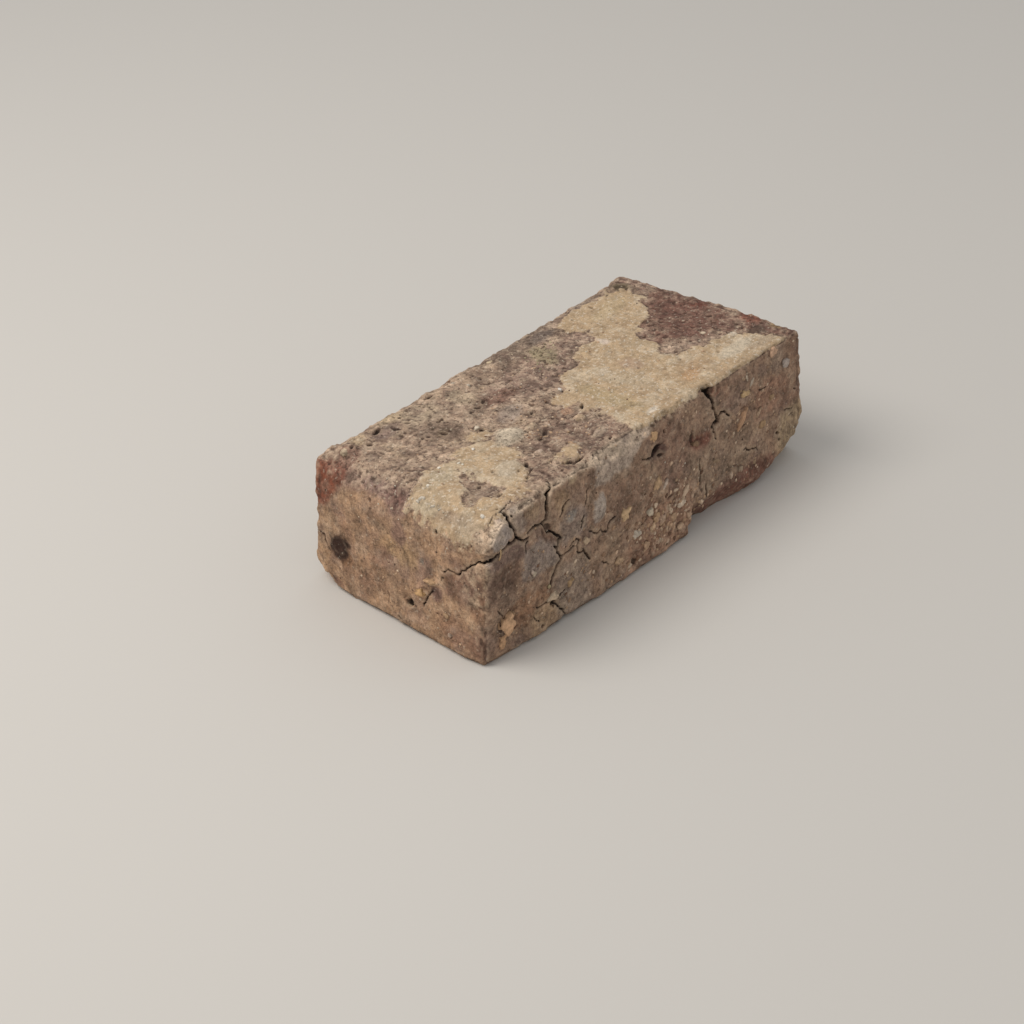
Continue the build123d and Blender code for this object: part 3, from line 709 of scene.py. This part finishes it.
ovals = {"top": [
    ((112, 78, 68), 0.6, 88, 4, 54, 44, 60), ((122, 103, 89), 0.7, -57, 20, 22, 26, 10),
    ((192, 177, 156), 0.95, -44.5, -7, 18, 14.5, 20), ((192, 177, 156), 0.8, -65, -25, 14, 11, 15),
    ((186, 162, 138), 0.9, -31.5, -9, 6.5, 5.5, 20), ((190, 164, 138), 0.9, -13.5, -21, 5, 5.6, 10),
    ((164, 130, 106), 0.7, -12, -13, 7, 6, 30), ((180, 156, 140), 0.8, -47, -26.5, 4.5, 4.5, 0),
    ((176, 158, 140), 0.7, -33, -34, 5, 8, 60), ((172, 154, 136), 0.6, -18, -35, 12, 6, 15),
    ((112, 92, 80), 0.55, -82, -22, 13, 8, 20), ((120, 98, 84), 0.5, -79, -14, 8, 10, 30),
    ((118, 100, 88), 0.6, -86, -30, 18, 8, 5), ((98, 80, 70), 0.6, -31, 22, 18, 7, 12),
    ((100, 80, 70), 0.6, -34, -18, 13, 6, 24), ((116, 82, 70), 0.6, -18, 20, 18, 12, 10),
    ((148, 135, 108), 0.75, 22, 29, 20, 13, 65), ((112, 100, 92), 0.7, 36, 42, 18, 8, 5),
    ((176, 158, 134), 0.6, -30, 33, 18, 12, 80), ((110, 92, 87), 0.7, -71, 39, 17, 10, 10),
    ((128, 96, 83), 0.7, -95, 38, 14, 10, 0), ((96, 80, 64), 0.6, -57.5, 18.5, 10, 7, 20),
    ((100, 78, 70), 0.6, -73, 43, 9, 4, 12), ((190, 168, 138), 0.7, -62, 46, 16, 8, 0),
    ((196, 172, 140), 0.6, -84, 44, 12, 8, 30), ((128, 84, 70), 0.8, -103, 40, 8, 14, 0),
    ((130, 98, 88), 0.6, -103, 6, 8, 14, 0), ((150, 138, 130), 0.5, -28, 6, 18, 12, 10),
    ((128, 78, 62), 0.75, 108, -24, 14, 12, 60), ((112, 66, 54), 0.7, 104, 3, 6, 8, 40),
    ((84, 66, 57), 0.8, 99, -34, 8, 11, 70), ((158, 132, 96), 0.7, 108, -38, 8, 7, 30),
    ((78, 68, 52), 0.9, 98.5, 45.5, 6, 11, 15), ((122, 102, 94), 0.5, 40, -9, 9, 5, 60),
    ((176, 160, 146), 0.8, -94, -48, 34, 5, 0), ((172, 156, 140), 0.5, 72, 50, 16, 8, 0),
], "header": [
    ((138, 102, 74), 0.7, 33.5, 19, 13, 9, 10), ((60, 42, 34), 1, 37, 22.8, 12, 16, 15),
    ((172, 142, 108), 0.6, -2, 37, 22, 14, 10), ((130, 102, 92), 0.7, 0, 44, 9, 16, 10),
    ((196, 160, 118), 0.8, -14, 22, 6, 4, -25), ((190, 158, 126), 0.7, -19, 29.4, 7, 3, -10),
    ((112, 86, 78), 0.8, -22.5, 25, 7, 8, 40), ((128, 122, 112), 0.7, -13.6, 36.6, 3.5, 4, 0),
    ((160, 144, 130), 0.6, -32, 11.4, 4, 3.5, 0), ((118, 86, 70), 0.6, -46, 9, 10, 14, 0),
    ((140, 106, 84), 0.5, -34, 12, 22, 16, 0), ((186, 162, 138), 0.75, -45, 57, 10, 10, 0),
    ((178, 144, 110), 0.5, 5, 37, 14, 10, 0), ((112, 78, 64), 0.6, 40, 4.5, 12, 5, 0),
    ((112, 80, 70), 0.5, 2, 57, 12, 6, 0),
], "front": [
    # The first front oval is painted shade inside the recess at 4.4, 49.8.
    ((92, 68, 62), 0.95, 4.4, 49.8, 11, 9, 0), ((84, 64, 54), 0.8, -97.6, 14.6, 12.5, 15, -20),
    ((204, 182, 156), 0.8, -69, 14.8, 6, 2.6, -12), ((158, 130, 100), 0.5, -60, 57, 10, 12, 20),
    ((166, 140, 112), 0.6, -78, 60, 12, 8, -20), ((132, 86, 70), 0.6, 46, 61, 8, 5, 0),
    ((170, 150, 120), 0.5, -52, 63, 6, 5, 0), ((148, 144, 138), 0.6, -55, 47, 8, 5, 10),
    ((124, 104, 90), 0.5, -98, 27, 16, 12, 0),
]}
sand_ovals = {"top": [
    ((202, 188, 166), 0.8, 78, -37, 28, 10, 4), ((214, 200, 182), 0.9, 88, -28, 7, 3.5, 10),
    ((214, 202, 186), 0.9, 10.5, -42.5, 8, 4, 15), ((204, 190, 172), 0.7, 25, -3, 8, 4, 30),
    ((188, 170, 144), 0.5, 25, -14, 12, 40, 10), ((206, 190, 176), 0.8, 48, 16, 5, 8, 10),
    ((192, 148, 106), 0.5, 46, -36, 16, 9, 20), ((168, 142, 122), 0.6, 38, -8, 10, 14, 10),
    ((186, 166, 138), 0.5, -98, -12, 8, 26, 0), ((178, 164, 140), 0.6, -86, -6, 18, 10, 10),
    ((194, 179, 157), 0.8, -65, -25, 14, 11, 15), ((194, 179, 157), 0.8, -44.5, -7, 18, 14.5, 20),
    ((168, 146, 118), 0.6, 58, 0, 12, 14, 30), ((172, 152, 118), 0.6, 8, -20, 12, 40, 0),
    ((190, 168, 134), 0.6, 75, 34, 30, 12, 10), ((176, 158, 136), 0.7, 92, -43, 24, 6, 0),
    ((150, 130, 112), 0.7, -104, -30, 8, 30, 0), ((84, 72, 56), 0.95, 99.5, 46, 6, 12, 20),
], "header": [
    ((190, 174, 148), 0.7, -12, 60, 12, 6, 0), ((182, 164, 140), 0.6, -38, 58, 16, 12, 20),
]}


def stain(under, *layers):
    """Lay colours over one another, each by its amount at each point."""
    for amount, shade in layers:
        under = under * (1 - amount[:, None]) + np.array(paint(*shade)) * amount[:, None]
    return under


def oval_stains(under, table):
    for face, shade, strength, *oval in rows_of(table):
        share = oval_share(face, *oval) + 0.3 * tear + 0.15 * grain
        under = stain(under, (strength * smoothstep(1.15, 0.6, share) * plan[face][2], shade))
    return under


x, y, z = points.T
side = np.maximum(on_front, on_header)
colour = np.tile(hidden_clay, (len(points), 1))
for face, shade in face_clay.items():
    amount = plan[face][2][:, None]
    colour = colour * (1 - amount) + np.array(shade) * amount
colour = stain(
    colour,
    (0.55 * smoothstep(0.1, 0.7, rough(26, 3, 8)) * (1 - on_top), (132, 98, 80)),
    (0.5 * smoothstep(0.1, 0.7, rough(18, 3, 9)) * (1 - 0.5 * side), (176, 154, 128)),
    (0.35 * smoothstep(0.1, 0.6, rough(12, 3, 15)) * side, (122, 104, 98)),
)
patch_edge = 1.1 * lump + 0.9 * tear + 0.7 * grain
for face, shade, strength, soft, outline in rows_of(outlines):
    inside = outline_depth(face, outline) + patch_edge
    colour = stain(colour, (strength * smoothstep(-soft, soft, inside) * plan[face][2], shade))

# Clouds and spots break up the patches, and the ovals lie over both
cloud = rough(6.5, 4, 16)
spots = 0.10 + 0.26 * on_top
colour = stain(
    colour,
    (smoothstep(0.05, 0.6, cloud) * (0.24 + 0.36 * on_top), (98, 78, 70)),
    (0.3 * smoothstep(0.0, 0.5, rough(14, 3, 19)) * on_header, (130, 104, 95)),
    (smoothstep(-0.05, -0.6, cloud) * (0.20 + 0.30 * on_top), (198, 175, 152)),
    (spots * smoothstep(0.1, 0.5, rough(2.6, 3, 20)), (92, 73, 65)),
    (spots * smoothstep(0.1, 0.5, rough(2.6, 3, 21)), (208, 186, 162)),
)
colour = oval_stains(colour, ovals)

# Dust down the header's front arris, red clay round its back corner, a pale crest along the
# front arris that is partly dust and partly a painted highlight, and gravel
dusty = on_header * smoothstep(-34, -43, y) * smoothstep(22, 28, z)
dusty *= smoothstep(52, 44, z) * smoothstep(-0.35, 0.25, grain + 0.6 * tear)
reddened = smoothstep(14, 7, np.linalg.norm(points - (-107, 55, 51), axis=1) + 3 * tear)
# The pale crest along the front arris is partly dust and partly a painted highlight.
crest_dust_and_highlight = smoothstep(0.03, 0.14, 1 - np.abs(normals).max(axis=1)) * smoothstep(-38, -45, y)
crest_dust_and_highlight *= smoothstep(48, 58, z) * smoothstep(10, -20, x)
colour = stain(
    colour,
    (0.55 * dusty, (200, 174, 146)),
    (0.9 * reddened * (1 - on_header) * (1 - on_top), (128, 72, 51)),
    (0.85 * crest_dust_and_highlight * smoothstep(-0.5, 0.1, tear + 0.5 * lump), (212, 190, 166)),
    (0.75 * gravel * smoothstep(0.1, 0.3, coarse) * (coarse_own > 0.1), (186, 156, 134)),
    (0.6 * gravel * smoothstep(0.1, 0.3, small) * (small_own > 0.3), (196, 168, 146)),
    (0.5 * gravel * smoothstep(0.1, 0.3, small) * (small_own < -0.4), (96, 78, 66)),
)
sand_colour = stain(
    np.tile(paint(186, 161, 130), (len(points), 1)),
    (0.6 * smoothstep(0.0, 0.6, rough(14, 3, 12)), (170, 143, 114)),
    (0.6 * smoothstep(0.0, 0.6, rough(9, 3, 13)), (200, 182, 156)),
    (0.35 * smoothstep(0.1, 0.6, rough(4, 3, 17)), (150, 124, 98)),
    (0.35 * smoothstep(0.1, 0.6, rough(3, 3, 18)), (216, 202, 180)),
)
sand_colour = oval_stains(sand_colour, sand_ovals)

# What the clay's material reads at each point of the skin
attributes = {"sand": sand_fade, "painted_recess_shade": painted_recess_shade, "pocks_and_painted_shade": pocks_and_painted_shade, "cavity": cavity, "upper": on_top}
for name, values in attributes.items():
    body.data.attributes.new(name, "FLOAT", "POINT").data.foreach_set("value", values.astype(np.float32))
for name, values in {"clay_colour": colour, "sand_colour": sand_colour}.items():
    rgba = np.ones((len(points), 4), np.float32)
    rgba[:, :3] = values
    body.data.attributes.new(name, "FLOAT_COLOR", "POINT").data.foreach_set("color", rgba.ravel())

# The mesh is thinned most on the hidden faces, and least on the three that show
triangle_limit = 190000
hidden = body.vertex_groups.new(name="hidden")
seen = np.maximum.reduce([on_top, on_front, on_header, painted_recess_shade])
for tenths in range(3, 11):
    chosen = np.nonzero(np.round(10 - 7 * seen) == tenths)[0]
    hidden.add([int(index) for index in chosen], tenths / 10, "REPLACE")
thinning = body.modifiers.new("thinning", "DECIMATE")
thinning.ratio = min(1.0, triangle_limit / (2 * len(body.data.polygons)))
thinning.use_collapse_triangulate = True
thinning.vertex_group = "hidden"
settle(body)
body.data.shade_smooth()


# The fired clay: painted colour broken up by grain, dark specks and pale sand, rough and matt.
def join(value, socket):
    """Link an output to an input, or set the input to a plain value."""
    if isinstance(value, bpy.types.NodeSocket):
        tree.links.new(value, socket)
    else:
        socket.default_value = value


def node(kind, *values, output=0, **settings):
    """Add a node, join values to its first inputs, and return one of its outputs."""
    made = tree.nodes.new(kind)
    for name, value in settings.items():
        setattr(made, name, value)
    for value, socket in zip(values, made.inputs):
        join(value, socket)
    return made.outputs[output]


def attribute(name, output="Fac"):
    return node("ShaderNodeAttribute", output=output, attribute_name=name)


def grains(scale, detail=2.0, roughness=0.5):
    """Noise of about 0 to 1, with grains 1000 / scale millimetres wide."""
    return node("ShaderNodeTexNoise", place, 0.0, scale, detail, roughness)


def spread(value, low, high, to_low=0.0, to_high=1.0):
    """A value between low and high spread over another range, and held at its ends."""
    return node("ShaderNodeMapRange", value, low, high, to_low, to_high)


def times(first, second):
    return node("ShaderNodeMath", first, second, operation="MULTIPLY")


def plus(first, second):
    return node("ShaderNodeMath", first, second, operation="ADD")


def blend(kind, amount, first, second):
    mixed = node("ShaderNodeMix", amount, output=2, data_type="RGBA", blend_type=kind)
    join(first, mixed.node.inputs[6])
    join(second, mixed.node.inputs[7])
    return mixed


def roughen(height, strength, distance):
    """Bump the material's surface by a height, as deep as distance in metres."""
    bumped = node("ShaderNodeBump", strength, distance)
    join(height, bumped.node.inputs["Height"])
    join(bumped, shader.inputs["Normal"])


fired, tree, shader = new_material("fired_clay", 0.25)
place = node("ShaderNodeTexCoord", output="Object")

# The sand layer frays out into grains at its edge
fray = plus(times(grains(230, 3.0, 0.7), 1.1), times(grains(900, 2.0), 0.5))
sandy = spread(plus(attribute("sand"), plus(fray, -0.8)), 0.42, 0.58)
base = blend("MIX", sandy, attribute("clay_colour", "Color"), attribute("sand_colour", "Color"))

# Mottling of the clay in blotches, flecks and fine grains, less strong in the sand
strong = spread(sandy, 0.0, 1.0, 1.0, 0.45)
blotch = times(spread(grains(140, 4.0, 0.65), 0.30, 0.70, -0.40, 0.40), strong)
fleck = times(spread(grains(520, 3.0, 0.7), 0.28, 0.72, -0.38, 0.38), strong)
fine = spread(grains(1500, 2.0, 0.6), 0.25, 0.75, -0.22, 0.22)
skin = blend("MULTIPLY", 1.0, base, plus(plus(plus(blotch, fleck), fine), 1.0))

# Dark specks and pale grains, grime and painted shade in the dents, rubbed crests, painted
# shade in the pocks, and painted shade in the cracks, the hollows and round the pebbles
dented = attribute("cavity")
speck = times(spread(grains(780, 3.0, 0.75), 0.56, 0.64), spread(sandy, 0.0, 1.0, 1.0, 0.2))
pale = plus(grains(640, 2.0, 0.6), times(sandy, 0.04))
pale = times(spread(pale, 0.63, 0.69), spread(sandy, 0.0, 1.0, 0.5, 0.8))
for amount, shade in (
    (times(speck, spread(attribute("upper"), 0.0, 1.0, 0.45, 0.85)), (76, 59, 51)),
    (times(pale, spread(attribute("upper"), 0.0, 1.0, 0.5, 1.0)), (214, 200, 180)),
    # grime and painted shade in the dents
    (times(spread(dented, 0.1, 1.0, 0.0, 0.62), spread(sandy, 0.0, 1.0, 1.0, 0.5)), (70, 54, 46)),
    (spread(dented, -0.15, -1.0, 0.0, 0.30), (196, 174, 148)),
    # painted shade in the pocks
    (times(attribute("pocks_and_painted_shade"), 0.35), (72, 56, 48)),
    # painted shade in the cracks, the hollows and the grooves round the pebbles
    (spread(attribute("painted_recess_shade"), 0.15, 0.9, 0.0, 0.95), (36, 27, 22)),
):
    skin = blend("MIX", amount, skin, (*paint(*shade), 1))
join(skin, shader.inputs["Base Color"])
join(spread(grains(300, 2.0), 0.3, 0.7, 0.82, 0.97), shader.inputs["Roughness"])
roughen(plus(times(grains(1300, 3.0, 0.65), 0.6), times(grains(420, 4.0, 0.65), 0.8)), 1.0, 0.5 * mm)
body.data.materials.clear()
body.data.materials.append(fired)
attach(body, "root")
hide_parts("brick")

# Stones in the clay: pebbles, bits of brick and burnt clay that were dug with it. Each is
# pressed into the skin where the mould or the wear has bared it, and shows only its head.
find = surface_finder(body)
face_axes = {
    "front": Matrix(((1, 0, 0), (0, 0, 1), (0, -1, 0))).transposed(),
    "header": Matrix(((0, 1, 0), (0, 0, 1), (-1, 0, 0))).transposed(),
    "top": Matrix(((1, 0, 0), (0, 1, 0), (0, 0, 1))),
}


def plant_stone(heap, paints, face, shade, head, u, v, long, wide, turn, detail):
    """One ragged stone sunk into a face: its head is rubbed flat, and its colour is darker lower down,
    towards the clay.
    """
    place = find(face, u, v)
    out = outward[face]
    crown = 0.5 * head
    thick = 0.42 * (long + wide) / 2
    turned = face_axes[face].to_4x4() @ Matrix.Rotation(math.radians(turn), 4, "Z")
    sunk = place - out * max(0.15, thick - 1.35 * head)
    sized = Matrix.Diagonal((long / 2, wide / 2, thick, 1))
    matrix = Matrix.Translation(sunk) @ turned @ sized
    made = bmesh.ops.create_icosphere(heap, subdivisions=detail, radius=1.0, matrix=matrix)
    for vert in made["verts"]:
        spot = vert.co.copy()
        spot += (spot - sunk) * (0.6 * noise.noise(spot / 1.9) + 0.35 * noise.noise(spot / 0.8))
        above = (spot - place).dot(out)
        if above > crown:
            spot -= out * 0.6 * (above - crown)
        # The stone's colour is darker lower down, towards the clay, and varies at random.
        tone_by_height = 0.72 + 0.28 * min(1, max(0, above / crown))
        tone_by_height *= 1 + 0.25 * noise.noise(spot / 1.3)
        vert[paints] = (*[value * tone_by_height for value in paint(*shade)], 1)
        vert.co = spot * mm


def new_heap():
    heap = bmesh.new()
    return heap, heap.verts.layers.float_color.new("stone_colour")


def finish_heap(heap, name):
    """Make a heap of stones one piece, inside the brick's own box."""
    bmesh.ops.recalc_face_normals(heap, faces=heap.faces)
    low_corner = [value + margin * mm for value in cad_box[0]]
    high_corner = [value - margin * mm for value in cad_box[1]]
    for vert in heap.verts:
        vert.co = [min(max(value, low), high) for value, low, high in zip(vert.co, low_corner, high_corner)]
    piece = add(name, bpy.data.meshes.new(name))
    heap.to_mesh(piece.data)
    heap.free()
    piece.data.shade_smooth()
    piece.data.materials.append(stone)
    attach(piece, "root")


stone, tree, shader = new_material("stone", 0.25)
shader.inputs["Roughness"].default_value = 0.85
place = node("ShaderNodeTexCoord", output="Object")
mottled = spread(grains(700, 3.0, 0.7), 0.3, 0.7, -0.26, 0.2)
mottled = plus(mottled, spread(grains(260, 2.0), 0.3, 0.7, 0.86, 1.1))
join(blend("MULTIPLY", 1.0, attribute("stone_colour", "Color"), mottled), shader.inputs["Base Color"])
roughen(grains(900, 3.0, 0.65), 0.8, 0.4 * mm)

heap, paints = new_heap()
for face, shade, head, u, v, long, wide, turn in rows_of(pebbles):
    bared, size = (0.42, 0.9) if face == "top" else (0.75, 1.1)
    plant_stone(heap, paints, face, shade, bared * head, u, v, size * long, size * wide, turn, 3)
finish_heap(heap, "pebbles")

# A short broken straw, litter from the clay pit, caught upright across the widest crack.
straw_foot = find("front", -100.6, 48.4) + outward["front"] * 0.15
straw_length = 5.4
heap, paints = new_heap()
bmesh.ops.create_cone(heap, segments=8, radius1=0.34, radius2=0.22, depth=straw_length, cap_ends=True)
bmesh.ops.subdivide_edges(heap, edges=[edge for edge in heap.edges if edge.calc_length() > 2], cuts=5)
for vert in heap.verts:
    rise = vert.co.z / straw_length + 0.5
    bend = Vector((0.7 * rise * rise - 0.2 * rise, -0.9 * math.sin(2.4 * rise), 0))
    fray = 1 + 0.3 * noise.noise(vert.co / 0.6)
    spot = Vector((vert.co.x * fray, vert.co.y * fray, rise * straw_length))
    vert[paints] = (*paint(186 + 20 * rise, 156 + 18 * rise, 118 + 16 * rise), 1)
    vert.co = (straw_foot + bend + spot) * mm
finish_heap(heap, "straw")

# Grit and grains of lime: crushed stone in the body of the clay, and white sand in the ochre
# layer, thickest near the arrises, but none on the burnt spot of the header:
# (middle, spread both ways, count, least and most size, colours).
lime = [(218, 205, 184), (206, 190, 166), (224, 213, 194)]
tan = [(196, 164, 134), (180, 148, 120), (210, 180, 152), (156, 126, 102), (216, 192, 166), (132, 102, 82)]
moss = [(160, 150, 118), (184, 172, 140), (126, 114, 90)]
dark = [(92, 72, 62), (104, 82, 70), (84, 66, 58)]
scatters = {"top": [
    (12, -42, 5, 3, 16, 0.7, 1.5, lime), (12, -30, 10, 8, 34, 0.5, 1.2, lime),
    (22, -12, 8, 14, 46, 0.5, 1.2, lime), (26, -2, 4, 4, 14, 0.6, 1.4, lime),
    (44, 12, 8, 8, 24, 0.5, 1.3, lime), (70, 30, 16, 8, 18, 0.5, 1, lime),
    (72, -36, 16, 6, 26, 0.5, 1.2, lime), (89, -28, 3, 2, 10, 0.6, 1.6, lime),
    (-97, -14, 4, 10, 30, 0.5, 1.3, lime), (-98, -34, 4, 6, 12, 0.5, 1.1, lime),
    (-70, -8, 14, 8, 16, 0.5, 1, lime), (-20, -28, 16, 8, 18, 0.5, 1, lime),
    (-60, 24, 34, 18, 60, 0.6, 1.5, tan), (-24, -26, 20, 12, 46, 0.7, 1.8, tan),
    (22, 29, 7, 5, 70, 0.6, 1.7, moss), (8, 20, 14, 8, 60, 0.4, 0.9, lime),
    (-34, -14, 4, 3, 16, 0.8, 2, tan), (10, 22, 26, 10, 40, 0.7, 1.7, tan),
    (-28, 0, 10, 8, 24, 0.7, 1.6, tan), (70, -16, 14, 8, 22, 0.7, 1.5, tan),
    (80, 4, 14, 12, 12, 0.6, 1.2, tan), (-10, 0, 60, 45, 60, 0.5, 1, dark),
], "header": [
    (0, 56, 30, 4, 26, 0.5, 1.2, lime), (0, 34, 32, 18, 90, 0.6, 1.6, tan),
    (0, 14, 34, 9, 60, 0.6, 1.6, tan), (0, 34, 34, 18, 40, 0.5, 1.2, dark),
], "front": [
    (6, 15, 16, 8, 170, 0.9, 3.2, tan), (-20, 9, 22, 7, 80, 0.8, 2.6, tan),
    (6, 36, 34, 14, 110, 0.7, 1.9, tan), (70, 36, 24, 16, 110, 0.7, 2, tan),
    (-72, 20, 22, 10, 70, 0.7, 2, tan), (-60, 46, 24, 10, 44, 0.6, 1.5, tan),
    (20, 30, 70, 18, 60, 0.6, 1.4, dark), (40, 30, 60, 18, 40, 0.6, 1.3, lime),
    (60, 12, 26, 5, 40, 0.7, 1.8, tan),
]}
limits = {"top": (-104, 108, -48, 49), "front": (-106, 108, 3, 63), "header": (-48, 46, 3, 62)}
tint = random.Random(52)
heap, paints = new_heap()
for face, u0, v0, spread_u, spread_v, count, least, most, shades in rows_of(scatters):
    for _ in range(count):
        u = tint.gauss(u0, spread_u)
        v = tint.gauss(v0, spread_v)
        long = tint.uniform(least, most)
        wide = long * tint.uniform(0.45 if face == "front" else 0.6, 0.9)
        paler = tint.uniform(0.9, 1.08)
        shade = [value * paler for value in tint.choice(shades)]
        turn = tint.gauss(40, 22) if face == "front" else tint.uniform(0, 180)
        left, right, bottom, top = limits[face]
        burnt = face == "header" and abs(u - 37) < 8 and abs(v - 23) < 9
        if left < u < right and bottom < v < top and not burnt:
            plant_stone(heap, paints, face, shade, 0.22 * long, u, v, long, wide, turn, 1)
finish_heap(heap, "grit")
